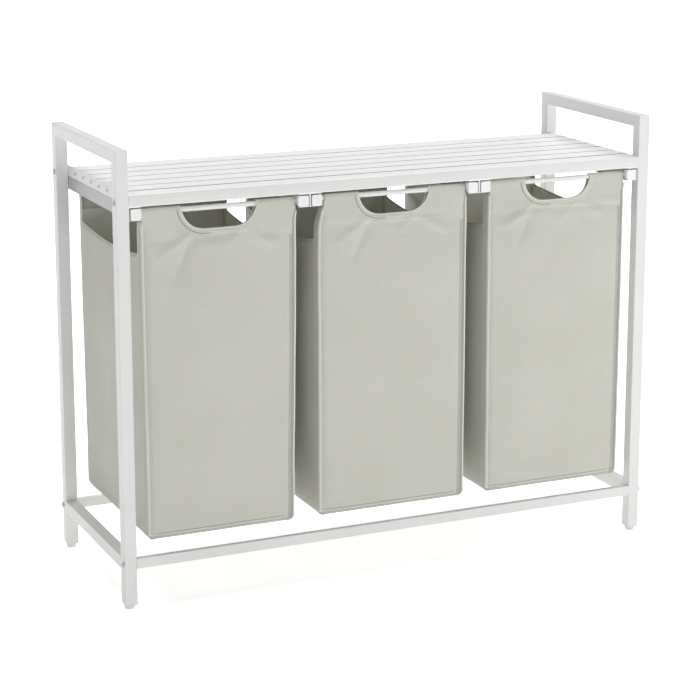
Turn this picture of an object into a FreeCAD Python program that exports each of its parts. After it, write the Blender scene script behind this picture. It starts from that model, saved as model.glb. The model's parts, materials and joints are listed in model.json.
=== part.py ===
# Three-bag laundry sorter: a white tube frame with a slatted shelf, and three
# fabric bags that hang on sliding frames and pull out towards the front.
#
# Frame: X to the right, Y to the back, Z up. The origin is on the floor, under
# the middle of the sorter. All sizes are millimetres.

import FreeCAD, Part
import os
import Sketcher

doc = FreeCAD.newDocument("LaundrySorter")
os.makedirs("parts", exist_ok=True)

# ---------------------------------------------------------------- driving sizes

SIZES = [
    ("overall_width", 925, "outer faces of the two side frames"),
    ("overall_depth", 330, "front to back over the posts"),
    ("overall_height", 720, "floor to the top of the handles"),
    ("tube_side", 20, "square tube of the side frames"),
    ("tube_wall", 1.2, "wall of every tube"),
    ("tube_edge_radius", 1.2, "rounding of a tube's long outer edges"),
    ("foot_height", 8.5, "floor to the lower end of a post"),
    ("foot_flange_height", 1.5, "flat rim of a foot under its post"),
    ("foot_bottom_diameter", 14.6, "lower end of a foot's taper"),
    ("foot_top_diameter", 19.6, "upper end of a foot's taper"),
    ("side_rail_top", 82.5, "top of the low rail of a side frame"),
    ("low_rail_top", 81.5, "top of the low front and back rails"),
    ("low_rail_height", 17, "height of the low front and back rails"),
    ("low_rail_depth", 9.5, "depth of the low front and back rails"),
    ("shelf_top", 652, "floor to the top of the slats"),
    ("front_beam_height", 18.5, "height of the front beam"),
    ("front_beam_depth", 37.5, "depth of the front beam"),
    ("slat_count", 6, "loose slats behind the front beam"),
    ("slat_width", 37.6, "front to back over one slat"),
    ("slat_gap", 3.4, "gap between slats"),
    ("slat_thickness", 17, "thickness of a slat"),
    ("slat_edge_radius", 0.3, "rounding of the slats"),
    ("beam_edge_radius", 2.5, "rounding of the front beam"),
    ("back_beam_height", 10, "height of the back beam"),
    ("end_strip_sheet", 1.5, "thickness of the strips over the slat ends"),
    ("end_strip_back", 140, "back end of those strips"),
    ("end_strip_play", 0.2, "gap between an end strip and its front post"),
    ("bearer_recess", 4.5, "outer bearers stand in from the slat ends"),
    ("rail_sheet", 1.2, "sheet of the channel rails"),
    ("rail_width", 19, "width of a channel rail"),
    ("rail_height", 21, "height of a channel rail"),
    ("rail_front", -162.5, "front end of the channel rails"),
    ("cap_width", 17, "width of a runner's end cap"),
    ("cap_height", 16.6, "height of a runner's end cap"),
    ("cap_length", 9, "visible length of a runner's end cap"),
    ("cap_radius", 2.2, "rounding of an end cap"),
    ("cap_front", 163.5, "middle of the sorter to an end cap's face"),
    ("cap_side_play", 1.6, "gap between an end cap and the rail's web"),
    ("slide_play", 0.2, "gap under an end cap"),
    ("runner_width", 15, "width of a runner tube"),
    ("runner_height", 14.6, "height of a runner tube"),
    ("rod_diameter", 8, "cross rods that carry the bag"),
    ("rod_offset", 150, "middle of the sorter to a cross rod"),
    ("sleeve_play", 0.2, "gap between a rod and its sleeve"),
    ("bag_width", 252, "outer width of a bag"),
    ("bag_bottom", 103, "floor to the underside of a bag"),
    ("bag_wall", 2, "thickness of the fabric with its lining"),
    ("bag_side_top", 552, "floor to the hem of a bag's side panels"),
    ("bag_corner_strip", 16, "side strip that stays beside each corner"),
    ("grip_width", 124, "width of a hand cut-out"),
    ("grip_depth", 38, "depth of a hand cut-out below the rods"),
    ("grip_bottom", 590, "floor to the lower edge of a hand cut-out"),
    ("bolt_diameter", 5, "frame bolts"),
    ("bolt_head_diameter", 9, "head of a frame bolt"),
    ("bolt_head_height", 2, "head of a frame bolt"),
    ("bolt_length", 32, "under the head"),
    ("socket_circumradius", 1.7, "hexagon socket of a frame bolt"),
    ("socket_depth", 1.8, "hexagon socket of a frame bolt"),
    ("insert_length", 13, "threaded inserts in the rails and beams"),
    ("insert_diameter", 10, "round inserts in the front beam"),
    ("end_screw_diameter", 3, "screws into the slat ends"),
    ("end_screw_length", 20, "under the head"),
    ("end_screw_head_diameter", 5, "head of a slat end screw"),
    ("end_screw_head_height", 1.2, "head of a slat end screw"),
    ("beam_screw_inset", 8, "back of the front beam to its end screw"),
    ("rail_screw_diameter", 3.5, "screws that hold the channel rails"),
    ("rail_screw_length", 8, "under the head"),
    ("rail_screw_head_diameter", 7, "flat head of a rail screw"),
    ("rail_screw_head_height", 1, "flat head of a rail screw"),
    ("rail_screw_inset", 15.3, "web of a channel rail to its screws"),
]

sheet = doc.addObject("Spreadsheet::Sheet", "Sizes")
for row, (alias, value, meaning) in enumerate(SIZES, start=1):
    sheet.set("A%d" % row, alias)
    sheet.set("B%d" % row, str(value))
    sheet.set("C%d" % row, meaning)
    sheet.setAlias("B%d" % row, alias)
doc.recompute()


def size(alias):
    """The expression for one cell of the sheet."""
    return "Sizes." + alias


def number(expression):
    """The value that an expression has now."""
    return float(sheet.evalExpression(expression))


# ------------------------------------------------- places that several parts use

HALF_WIDTH = "(Sizes.overall_width / 2)"
HALF_DEPTH = "(Sizes.overall_depth / 2)"
INNER_HALF_WIDTH = "(Sizes.overall_width / 2 - Sizes.tube_side)"
INNER_HALF_DEPTH = "(Sizes.overall_depth / 2 - Sizes.tube_side)"
POST_CENTRE_X = "(Sizes.overall_width / 2 - Sizes.tube_side / 2)"
POST_CENTRE_Y = "(Sizes.overall_depth / 2 - Sizes.tube_side / 2)"
SLAT_BOTTOM = "(Sizes.shelf_top - Sizes.slat_thickness)"
BEAM_BOTTOM = "(Sizes.shelf_top - Sizes.front_beam_height)"
RAIL_BOTTOM = "(%s - Sizes.rail_height)" % BEAM_BOTTOM
FRONT_BEAM_BACK = "(Sizes.front_beam_depth - %s)" % HALF_DEPTH
BACK_BEAM_CENTRE_Z = "(%s + Sizes.back_beam_height / 2)" % SLAT_BOTTOM
LOW_RAIL_CENTRE_Z = "(Sizes.low_rail_top - Sizes.low_rail_height / 2)"
LOW_RAIL_CENTRE_Y = "(%s - Sizes.low_rail_depth / 2)" % HALF_DEPTH
BAY_WIDTH = "(2 * %s / 3)" % INNER_HALF_WIDTH
RUNNER_CENTRE_Z = "(%s + Sizes.rail_sheet + Sizes.slide_play + Sizes.cap_height / 2)" % RAIL_BOTTOM
RUNNER_FROM_WEB = "(Sizes.rail_sheet + Sizes.cap_side_play + Sizes.cap_width / 2)"

SIDES = {"left": -1, "right": 1}
ENDS = {"front": -1, "back": 1}
BAYS = (1, 2, 3)
SLATS = int(number(size("slat_count")))


def bay_centre(bay):
    """Middle of bay 1, 2 or 3, counted from the left."""
    return "(%d * %s)" % (bay - 2, BAY_WIDTH)


# ------------------------------------------------------------------ small makers

def put(obj, x="0", y="0", z="0"):
    """Place an object by its X, Y and Z expressions."""
    for axis, expression in zip("xyz", (x, y, z)):
        obj.setExpression("Placement.Base." + axis, expression)
    return obj


def turn(obj, axis, degrees):
    """Turn an object about an axis through its own origin."""
    obj.Placement.Rotation = FreeCAD.Rotation(FreeCAD.Vector(*axis), degrees)
    return obj


def box(name, centre, lengths):
    """A box by the expressions of its centre and of its three side lengths."""
    obj = doc.addObject("Part::Box", name)
    for prop, expression in zip(("Length", "Width", "Height"), lengths):
        obj.setExpression(prop, expression)
    return put(obj, *["%s - (%s) / 2" % pair for pair in zip(centre, lengths)])


def cylinder(name, axis, start, radius, length):
    """A cylinder from its start point, along +X, -X, +Y or +Z."""
    turns = {"+X": ((0, 1, 0), 90), "-X": ((0, 1, 0), -90), "+Y": ((1, 0, 0), -90), "+Z": ((0, 0, 1), 0)}
    obj = doc.addObject("Part::Cylinder", name)
    obj.setExpression("Radius", radius)
    obj.setExpression("Height", length)
    turn(obj, *turns[axis])
    return put(obj, *start)


def cut(name, base, tool):
    obj = doc.addObject("Part::Cut", name)
    obj.Base = base
    obj.Tool = tool
    return obj


def fuse(name, shapes):
    obj = doc.addObject("Part::MultiFuse", name)
    obj.Shapes = shapes
    return obj


def group(name, shapes):
    """Separate solids that share one node."""
    obj = doc.addObject("Part::Compound", name)
    obj.Links = shapes
    return obj


parts = {}


def keep(name, obj):
    """Give a finished sub-part its label, which also names its file."""
    obj.Label = name
    parts[name] = obj
    return obj


def tube(name, centre, lengths, along):
    """A tube along axis 0, 1 or 2: a bar with rounded long edges, less its bore."""
    bore = ["%s - 2 * Sizes.tube_wall" % length for length in lengths]
    bore[along] = lengths[along]
    outside = rounded_bar(name, centre, lengths, along, size("tube_edge_radius"))
    return cut(name + "_tube", outside, box(name + "_bore", centre, bore))


def rounded_bar(name, centre, lengths, along, radius):
    """A bar along axis 0, 1 or 2, sketched across its length and padded, with its long edges rounded."""
    body = doc.addObject("PartDesign::Body", name + "_bar")
    across = [lengths[i] for i in range(3) if i != along]
    sketch = body.newObject("Sketcher::SketchObject", name + "_section")
    role = ("YZ_Plane", "XZ_Plane", "XY_Plane")[along]
    plane = [item for item in body.Origin.OriginFeatures if item.Role == role][0]
    sketch.AttachmentSupport = [(plane, "")]
    sketch.MapMode = "FlatFace"
    rectangle(sketch, across)
    pad = body.newObject("PartDesign::Pad", name + "_pad")
    pad.Profile = sketch
    pad.SideType = "Symmetric"
    pad.setExpression("Length", lengths[along])
    doc.recompute()
    direction = FreeCAD.Vector(*[1 if i == along else 0 for i in range(3)])
    long_edges = [
        "Edge%d" % (index + 1)
        for index, edge in enumerate(pad.Shape.Edges)
        if abs(edge.tangentAt(edge.FirstParameter).dot(direction)) > 0.99
    ]
    rounding = body.newObject("PartDesign::Fillet", name + "_rounding")
    rounding.Base = (pad, long_edges)
    rounding.setExpression("Radius", radius)
    return put(body, *centre)


def rectangle(sketch, lengths):
    """A rectangle about the sketch's origin, driven by two expressions."""
    half_x, half_y = [number(length) / 2 for length in lengths]
    corners = [(-half_x, -half_y), (half_x, -half_y), (half_x, half_y), (-half_x, half_y)]
    for index in range(4):
        start = FreeCAD.Vector(*corners[index], 0)
        end = FreeCAD.Vector(*corners[(index + 1) % 4], 0)
        sketch.addGeometry(Part.LineSegment(start, end), False)
    for index in range(4):
        sketch.addConstraint(Sketcher.Constraint("Coincident", index, 2, (index + 1) % 4, 1))
        sketch.addConstraint(Sketcher.Constraint(("Horizontal", "Vertical")[index % 2], index))
    sketch.addConstraint(Sketcher.Constraint("Symmetric", 0, 1, 2, 1, -1, 1))
    width = sketch.addConstraint(Sketcher.Constraint("DistanceX", 0, 1, 0, 2, 2 * half_x))
    height = sketch.addConstraint(Sketcher.Constraint("DistanceY", 1, 1, 1, 2, 2 * half_y))
    sketch.setExpression("Constraints[%d]" % width, lengths[0])
    sketch.setExpression("Constraints[%d]" % height, lengths[1])


# --------------------------------------------------------------------- fasteners

def headed_pin(name, axis, start, pin, head):
    """A pin with a round head behind its start point. pin and head are (radius, length)."""
    sign = "-" if axis[0] == "+" else "+"
    place = "XYZ".index(axis[1])
    head_start = list(start)
    head_start[place] = "%s %s %s" % (start[place], sign, head[1])
    shank = cylinder(name + "_shank", axis, start, *pin)
    return fuse(name, [shank, cylinder(name + "_head", axis, head_start, *head)])


def frame_bolts(side):
    """Four hexagon-socket bolts through the posts of one side frame, into the beams and low rails."""
    sign = SIDES[side]
    axis = "+X" if sign < 0 else "-X"
    places = {
        "front_beam": ("-" + POST_CENTRE_Y, BACK_BEAM_CENTRE_Z),
        "back_beam": (POST_CENTRE_Y, BACK_BEAM_CENTRE_Z),
        "low_front_rail": ("-" + LOW_RAIL_CENTRE_Y, LOW_RAIL_CENTRE_Z),
        "low_back_rail": (LOW_RAIL_CENTRE_Y, LOW_RAIL_CENTRE_Z),
    }
    bolts = []
    for place, (y, z) in places.items():
        name = "%s_%s_bolt" % (side, place)
        pin = (size("bolt_diameter") + " / 2", size("bolt_length"))
        head = (size("bolt_head_diameter") + " / 2", size("bolt_head_height"))
        bolt = headed_pin(name + "_blank", axis, ("%d * %s" % (sign, HALF_WIDTH), y, z), pin, head)
        socket = doc.addObject("Part::Prism", name + "_socket")
        socket.Polygon = 6
        socket.setExpression("Circumradius", size("socket_circumradius"))
        socket.setExpression("Height", size("socket_depth"))
        turn(socket, (0, 1, 0), -90 * sign)
        mouth = "%d * (%s + %s)" % (sign, HALF_WIDTH, size("bolt_head_height"))
        put(socket, mouth, y, z)
        bolts.append(cut(name, bolt, socket))
    return group(side + "_frame_bolt_set", bolts)


def slat_centre_y(index):
    """Middle of slat 1 to 6; 0 is the part of the front beam behind the posts."""
    if index == 0:
        return "(%s - Sizes.beam_screw_inset)" % FRONT_BEAM_BACK
    pitch = "(Sizes.slat_width + Sizes.slat_gap)"
    return "(%s + Sizes.slat_gap + Sizes.slat_width / 2 + %d * %s)" % (FRONT_BEAM_BACK, index - 1, pitch)


def end_screws(side):
    """One screw through an end strip into each slat end and into the end of the front beam."""
    sign = SIDES[side]
    axis = "+X" if sign < 0 else "-X"
    x = "%d * (%s + Sizes.end_strip_sheet)" % (sign, INNER_HALF_WIDTH)
    z = "%s + Sizes.slat_thickness / 2" % SLAT_BOTTOM
    pin = (size("end_screw_diameter") + " / 2", size("end_screw_length"))
    head = (size("end_screw_head_diameter") + " / 2", size("end_screw_head_height"))
    screws = []
    for index in range(SLATS + 1):
        name = "%s_end_screw_%d" % (side, index)
        screws.append(headed_pin(name, axis, (x, slat_centre_y(index), z), pin, head))
    return group(side + "_end_screw_set", screws)


def rail_web_x(bay, side):
    """The outer face of a channel rail's web."""
    return "(%s + %d * %s / 2)" % (bay_centre(bay), SIDES[side], BAY_WIDTH)


def rail_screws():
    """Three flat-head screws up through each channel rail: front beam, third slat, back beam."""
    pin = (size("rail_screw_diameter") + " / 2", size("rail_screw_length"))
    head = (size("rail_screw_head_diameter") + " / 2", size("rail_screw_head_height"))
    z = "%s - Sizes.rail_sheet" % BEAM_BOTTOM
    places = {"front": "-" + POST_CENTRE_Y, "middle": slat_centre_y(3), "back": POST_CENTRE_Y}
    screws = []
    for bay in BAYS:
        for side, sign in SIDES.items():
            x = "%s - %d * Sizes.rail_screw_inset" % (rail_web_x(bay, side), sign)
            for place, y in places.items():
                name = "bag_%d_%s_rail_%s_screw" % (bay, side, place)
                screws.append(headed_pin(name, "+Z", (x, y, z), pin, head))
    return group("rail_screw_set", screws)


bolts = {side: keep(side + "_frame_bolts", frame_bolts(side)) for side in SIDES}
screws = {side: keep(side + "_slat_end_screws", end_screws(side)) for side in SIDES}
all_rail_screws = keep("rail_screws", rail_screws())

# -------------------------------------------------------- side frames, rails, feet

MITRE_TURN = {
    ("post", "front"): -45,
    ("post", "back"): 45,
    ("handle", "front"): 135,
    ("handle", "back"): -135,
}


def mitre(name, kind, end, side):
    """A block that trims a tube to 45 degrees at the upper corner of a side frame."""
    sign = ENDS[end]
    block = doc.addObject("Part::Box", name)
    reach = size("tube_side") + " * 2"
    for prop in ("Length", "Width", "Height"):
        block.setExpression(prop, reach)
    turn(block, (1, 0, 0), MITRE_TURN[(kind, end)])
    from_outer_corner = (kind == "post") == (end == "front")
    y = HALF_DEPTH if from_outer_corner else INNER_HALF_DEPTH
    z = "Sizes.overall_height" if from_outer_corner else "Sizes.overall_height - Sizes.tube_side"
    x = "%d * %s - Sizes.tube_side" % (SIDES[side], POST_CENTRE_X)
    return put(block, x, "%d * %s" % (sign, y), z)


def side_frame(side):
    """Two posts and a handle mitred together, and the low side rail between the posts."""
    x = "%d * %s" % (SIDES[side], POST_CENTRE_X)
    square = size("tube_side")
    handle = tube(
        side + "_handle",
        (x, "0", "Sizes.overall_height - Sizes.tube_side / 2"),
        (square, size("overall_depth"), square),
        1,
    )
    for end, sign in ENDS.items():
        name = "%s_%s_post" % (side, end)
        length = "(Sizes.overall_height - Sizes.foot_height)"
        centre = (x, "%d * %s" % (sign, POST_CENTRE_Y), "Sizes.foot_height + %s / 2" % length)
        post = tube(name, centre, (square, square, length), 2)
        post = cut(name + "_mitred", post, mitre(name + "_mitre", "post", end, side))
        keep(name, cut(name + "_drilled", post, bolts[side]))
        handle_mitre = mitre("%s_%s_handle_mitre" % (side, end), "handle", end, side)
        handle = cut("%s_handle_%s_mitred" % (side, end), handle, handle_mitre)
        foot(side, end)
    keep(side + "_handle", handle)
    rail_centre = (x, "0", "Sizes.side_rail_top - Sizes.tube_side / 2")
    rail_lengths = (square, "2 * " + INNER_HALF_DEPTH, square)
    keep(side + "_low_rail", tube(side + "_low_rail", rail_centre, rail_lengths, 1))


def foot(side, end):
    """A push-in glide: a plug in the post, a square flange under it and a tapered round foot."""
    name = "%s_%s_foot" % (side, end)
    x = "%d * %s" % (SIDES[side], POST_CENTRE_X)
    y = "%d * %s" % (ENDS[end], POST_CENTRE_Y)
    flange_height = size("foot_flange_height")
    taper_height = "(Sizes.foot_height - %s)" % flange_height
    square = size("tube_side")
    plug_side = "Sizes.tube_side - 2 * Sizes.tube_wall"
    taper = doc.addObject("Part::Cone", name + "_taper")
    taper.setExpression("Radius1", "Sizes.foot_bottom_diameter / 2")
    taper.setExpression("Radius2", "Sizes.foot_top_diameter / 2")
    taper.setExpression("Height", taper_height)
    put(taper, x, y)
    flange_centre = (x, y, "%s + %s / 2" % (taper_height, flange_height))
    flange_lengths = (square, square, flange_height)
    flange = rounded_bar(name + "_flange", flange_centre, flange_lengths, 2, size("tube_edge_radius"))
    plug_centre = (x, y, "Sizes.foot_height + Sizes.tube_side / 2")
    plug = box(name + "_plug", plug_centre, (plug_side, plug_side, square))
    keep(name, fuse(name + "_solid", [taper, flange, plug]))


for side in SIDES:
    side_frame(side)

for end, sign in ENDS.items():
    centre = ("0", "%d * %s" % (sign, LOW_RAIL_CENTRE_Y), LOW_RAIL_CENTRE_Z)
    lengths = ("2 * " + INNER_HALF_WIDTH, size("low_rail_depth"), size("low_rail_height"))
    keep("low_%s_rail" % end, tube("low_%s_rail" % end, centre, lengths, 0))

# --------------------------------------------------------------------------- shelf

inserts = []
beam_inserts = []
for side, sign in SIDES.items():
    insert_x = "%d * (%s - Sizes.insert_length / 2)" % (sign, INNER_HALF_WIDTH)
    for end, end_sign in ENDS.items():
        name = "%s_low_%s_rail_insert" % (side, end)
        centre = (insert_x, "%d * %s" % (end_sign, LOW_RAIL_CENTRE_Y), LOW_RAIL_CENTRE_Z)
        bore = ["Sizes.%s - 2 * Sizes.tube_wall" % alias for alias in ("low_rail_depth", "low_rail_height")]
        insert = box(name + "_blank", centre, (size("insert_length"), *bore))
        inserts.append(cut(name, insert, bolts[side]))
    name = side + "_back_beam_insert"
    centre = (insert_x, POST_CENTRE_Y, BACK_BEAM_CENTRE_Z)
    bore = ["Sizes.%s - 2 * Sizes.tube_wall" % alias for alias in ("tube_side", "back_beam_height")]
    insert = box(name + "_blank", centre, (size("insert_length"), *bore))
    inserts.append(cut(name, insert, bolts[side]))
    name = side + "_front_beam_insert"
    start = ("%d * %s" % (sign, INNER_HALF_WIDTH), "-" + POST_CENTRE_Y, BACK_BEAM_CENTRE_Z)
    axis = "+X" if sign < 0 else "-X"
    insert = cylinder(name + "_blank", axis, start, "Sizes.insert_diameter / 2", size("insert_length"))
    beam_inserts.append(cut(name, insert, bolts[side]))
insert_blanks = group("beam_insert_blanks", [insert.Base for insert in beam_inserts])
keep("rail_inserts", group("rail_insert_set", inserts))
keep("front_beam_inserts", group("beam_insert_set", beam_inserts))

shelf_fasteners = group("shelf_fasteners", [screws["left"], screws["right"], all_rail_screws])
shelf_length = "2 * " + INNER_HALF_WIDTH

beam_centre = (
    "0",
    "%s - Sizes.front_beam_depth / 2" % FRONT_BEAM_BACK,
    "Sizes.shelf_top - Sizes.front_beam_height / 2",
)
beam_lengths = (shelf_length, size("front_beam_depth"), size("front_beam_height"))
beam = rounded_bar("front_beam", beam_centre, beam_lengths, 0, size("beam_edge_radius"))
beam = cut("front_beam_bored", beam, insert_blanks)
keep("front_beam", cut("front_beam_drilled", beam, shelf_fasteners))

back_beam = tube(
    "back_beam",
    ("0", POST_CENTRE_Y, BACK_BEAM_CENTRE_Z),
    (shelf_length, size("tube_side"), size("back_beam_height")),
    0,
)
keep("back_beam", cut("back_beam_drilled", back_beam, all_rail_screws))

for index in range(1, SLATS + 1):
    name = "slat_%d" % index
    centre = ("0", slat_centre_y(index), "%s + Sizes.slat_thickness / 2" % SLAT_BOTTOM)
    lengths = (shelf_length, size("slat_width"), size("slat_thickness"))
    slat = rounded_bar(name, centre, lengths, 0, size("slat_edge_radius"))
    keep(name, cut(name + "_drilled", slat, shelf_fasteners))

for side, sign in SIDES.items():
    name = side + "_end_strip"
    front = "(-%s + Sizes.end_strip_play)" % INNER_HALF_DEPTH
    length = "(Sizes.end_strip_back - %s)" % front
    centre = (
        "%d * (%s + Sizes.end_strip_sheet / 2)" % (sign, INNER_HALF_WIDTH),
        "%s + %s / 2" % (front, length),
        "%s + Sizes.slat_thickness / 2" % SLAT_BOTTOM,
    )
    strip = box(name + "_blank", centre, (size("end_strip_sheet"), length, size("slat_thickness")))
    keep(name, cut(name + "_drilled", strip, screws[side]))

# Flat bars between the slats and the channel rails: one over each outer rail, and
# a wide one over each back-to-back pair.
bearer_height = "(%s - %s)" % (SLAT_BOTTOM, BEAM_BOTTOM)
bearer_length = "(%s - %s)" % (HALF_DEPTH, FRONT_BEAM_BACK)
outer_bearer_width = "(Sizes.rail_width - Sizes.bearer_recess)"
outer_bearer_x = "(%s - Sizes.bearer_recess - %s / 2)" % (INNER_HALF_WIDTH, outer_bearer_width)
BEARERS = {
    "left_bearer": ("-" + outer_bearer_x, outer_bearer_width),
    "middle_left_bearer": ("-%s / 2" % BAY_WIDTH, "2 * " + outer_bearer_width),
    "middle_right_bearer": ("%s / 2" % BAY_WIDTH, "2 * " + outer_bearer_width),
    "right_bearer": (outer_bearer_x, outer_bearer_width),
}
bearer_y = "%s + %s / 2" % (FRONT_BEAM_BACK, bearer_length)
bearer_z = "%s + %s / 2" % (BEAM_BOTTOM, bearer_height)
for name, (x, width) in BEARERS.items():
    centre = (x, bearer_y, bearer_z)
    bearer = box(name + "_blank", centre, (width, bearer_length, bearer_height))
    keep(name, cut(name + "_drilled", bearer, all_rail_screws))

# ----------------------------------------------------------- channel rails and bags

def channel_rail(bay, side):
    """A sheet channel, open towards the bag and to the front, and closed at the back as a stop."""
    name = "bag_%d_%s_rail" % (bay, side)
    sign = SIDES[side]
    web = rail_web_x(bay, side)
    length = "(%s - Sizes.rail_front)" % HALF_DEPTH
    centre = (
        "%s - %d * Sizes.rail_width / 2" % (web, sign),
        "Sizes.rail_front + %s / 2" % length,
        "%s + Sizes.rail_height / 2" % RAIL_BOTTOM,
    )
    outside = box(name + "_outside", centre, (size("rail_width"), length, size("rail_height")))
    cavity_centre = (
        "%s - %d * (Sizes.rail_width / 2 + Sizes.rail_sheet)" % (web, sign),
        "Sizes.rail_front + (%s) / 2 - Sizes.rail_sheet" % length,
        centre[2],
    )
    cavity_height = "Sizes.rail_height - 2 * Sizes.rail_sheet"
    cavity = box(name + "_cavity", cavity_centre, (size("rail_width"), length, cavity_height))
    keep(name, cut(name + "_drilled", cut(name + "_channel", outside, cavity), all_rail_screws))


def bag_frame(bay):
    """Two runner tubes with end caps, joined by a front and a back rod."""
    caps = []
    inner_face = "(%s / 2 - %s - Sizes.runner_width / 2)" % (BAY_WIDTH, RUNNER_FROM_WEB)
    cap_face_y = size("cap_front")
    runner_end_y = "(Sizes.cap_front - Sizes.cap_length)"
    wall = size("rail_sheet")
    for side, sign in SIDES.items():
        name = "bag_%d_%s_runner" % (bay, side)
        x = "%s - %d * %s" % (rail_web_x(bay, side), sign, RUNNER_FROM_WEB)
        lengths = (size("runner_width"), "2 * " + runner_end_y, size("runner_height"))
        keep(name, tube(name, (x, "0", RUNNER_CENTRE_Z), lengths, 1))
        for end, end_sign in ENDS.items():
            cap_name = "bag_%d_%s_%s_cap" % (bay, side, end)
            y = "%d * (%s - Sizes.cap_length / 2)" % (end_sign, cap_face_y)
            head_lengths = (size("cap_width"), size("cap_length"), size("cap_height"))
            head = rounded_bar(cap_name, (x, y, RUNNER_CENTRE_Z), head_lengths, 1, size("cap_radius"))
            plug_lengths = (
                "Sizes.runner_width - 2 * Sizes.tube_wall",
                size("cap_length"),
                "Sizes.runner_height - 2 * Sizes.tube_wall",
            )
            plug_y = "%d * (%s - Sizes.cap_length / 2)" % (end_sign, runner_end_y)
            plug = box(cap_name + "_plug", (x, plug_y, RUNNER_CENTRE_Z), plug_lengths)
            caps.append(fuse(cap_name + "_solid", [head, plug]))
    keep("bag_%d_runner_caps" % bay, group("bag_%d_runner_cap_set" % bay, caps))
    rod_start = "%s - %s" % (bay_centre(bay), inner_face)
    for end, sign in ENDS.items():
        name = "bag_%d_%s_rod" % (bay, end)
        start = (rod_start, "%d * Sizes.rod_offset" % sign, RUNNER_CENTRE_Z)
        keep(name, cylinder(name + "_bar", "+X", start, "Sizes.rod_diameter / 2", "2 * " + inner_face))


def fabric_bag(bay):
    """An open fabric box. Its front and back panels wrap the rods, and its sides are cut lower."""
    name = "bag_%d_fabric" % bay
    x = bay_centre(bay)
    sleeve_bore = "(Sizes.rod_diameter / 2 + Sizes.sleeve_play)"
    sleeve_radius = "(%s + Sizes.bag_wall)" % sleeve_bore
    half_depth = "(Sizes.rod_offset + %s)" % sleeve_radius
    height = "(%s - Sizes.bag_bottom)" % RUNNER_CENTRE_Z
    centre_z = "Sizes.bag_bottom + %s / 2" % height
    outside_lengths = (size("bag_width"), "2 * " + half_depth, height)
    outside = box(name + "_outside", (x, "0", centre_z), outside_lengths)
    inside_lengths = (
        "Sizes.bag_width - 2 * Sizes.bag_wall",
        "2 * (%s - Sizes.bag_wall)" % half_depth,
        height,
    )
    inside = box(name + "_inside", (x, "0", centre_z + " + Sizes.bag_wall"), inside_lengths)
    shell = cut(name + "_shell", outside, inside)
    window_height = "(%s - Sizes.bag_side_top)" % RUNNER_CENTRE_Z
    window_depth = "2 * (%s - Sizes.bag_corner_strip)" % half_depth
    window_centre = (x, "0", "Sizes.bag_side_top + %s" % window_height)
    window_lengths = ("2 * Sizes.bag_width", window_depth, "2 * " + window_height)
    window = box(name + "_window", window_centre, window_lengths)
    shell = cut(name + "_low_sides", shell, window)

    start_x = "%s - Sizes.bag_width / 2" % x
    length = size("bag_width")
    sleeves = []
    rods = []
    for end, sign in ENDS.items():
        start = (start_x, "%d * Sizes.rod_offset" % sign, RUNNER_CENTRE_Z)
        sleeves.append(cylinder("%s_%s_sleeve" % (name, end), "+X", start, sleeve_radius, length))
        rods.append(cylinder("%s_%s_bore" % (name, end), "+X", start, sleeve_bore, length))
    whole = fuse(name + "_with_sleeves", [shell, *sleeves])
    sewn = cut(name + "_sleeved", whole, group(name + "_bores", rods))
    keep(name, cut(name + "_cut_out", sewn, hand_cut_out(name, x, half_depth)))


def hand_cut_out(name, x, half_depth):
    """A half-moon block through the front and back panels: a flat lower edge and two round corners."""
    depth = size("grip_depth")
    through = "2 * (%s + Sizes.bag_wall)" % half_depth
    flat = "(Sizes.grip_width - 2 * Sizes.grip_depth)"
    hole_centre_z = "Sizes.grip_bottom + " + depth
    middle = box(name + "_grip_middle", (x, "0", hole_centre_z), (flat, through, "2 * " + depth))
    upper_centre = (x, "0", "Sizes.grip_bottom + 1.5 * " + depth)
    pieces = [middle, box(name + "_grip_upper", upper_centre, (size("grip_width"), through, depth))]
    for side, sign in SIDES.items():
        start = ("%s + %d * %s / 2" % (x, sign, flat), "-(%s) / 2" % through, hole_centre_z)
        pieces.append(cylinder("%s_grip_%s" % (name, side), "+Y", start, depth, through))
    return fuse(name + "_grip", pieces)


for bay in BAYS:
    for side in SIDES:
        channel_rail(bay, side)
    bag_frame(bay)
    fabric_bag(bay)

# -------------------------------------------------------------------- check, export

doc.recompute()
failed = [obj.Name for obj in doc.Objects if "Invalid" in obj.State or "Error" in obj.State]
for name, obj in parts.items():
    if obj.Shape.isNull() or not obj.Shape.isValid() or not obj.Shape.Solids:
        failed.append(name)
if failed:
    raise RuntimeError("failed: " + ", ".join(failed))

for name, obj in parts.items():
    obj.Shape.exportStep("parts/%s.step" % name)
    print("%-28s %2d solid(s) %12.1f mm3" % (name, len(obj.Shape.Solids), obj.Shape.Volume))
print(len(parts), "parts")
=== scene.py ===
import json
import math

import bpy
from mathutils import Matrix, Vector, noise


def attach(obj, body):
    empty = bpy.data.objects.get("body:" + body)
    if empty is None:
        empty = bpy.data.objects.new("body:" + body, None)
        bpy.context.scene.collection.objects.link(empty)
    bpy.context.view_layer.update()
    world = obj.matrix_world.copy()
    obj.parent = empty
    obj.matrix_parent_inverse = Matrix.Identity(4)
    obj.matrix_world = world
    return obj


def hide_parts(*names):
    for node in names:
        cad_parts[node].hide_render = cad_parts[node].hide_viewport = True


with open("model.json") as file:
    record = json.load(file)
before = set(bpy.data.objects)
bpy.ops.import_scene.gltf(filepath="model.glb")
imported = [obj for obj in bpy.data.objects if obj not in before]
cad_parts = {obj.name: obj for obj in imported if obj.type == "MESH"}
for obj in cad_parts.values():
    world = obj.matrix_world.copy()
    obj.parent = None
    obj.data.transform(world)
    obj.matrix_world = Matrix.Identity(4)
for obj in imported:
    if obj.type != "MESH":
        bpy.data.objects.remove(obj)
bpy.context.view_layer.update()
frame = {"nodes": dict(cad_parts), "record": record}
nodes = frame["nodes"]
scene = bpy.context.scene
MM = 0.001

# ---------------------------------------------------------------- small helpers


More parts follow.
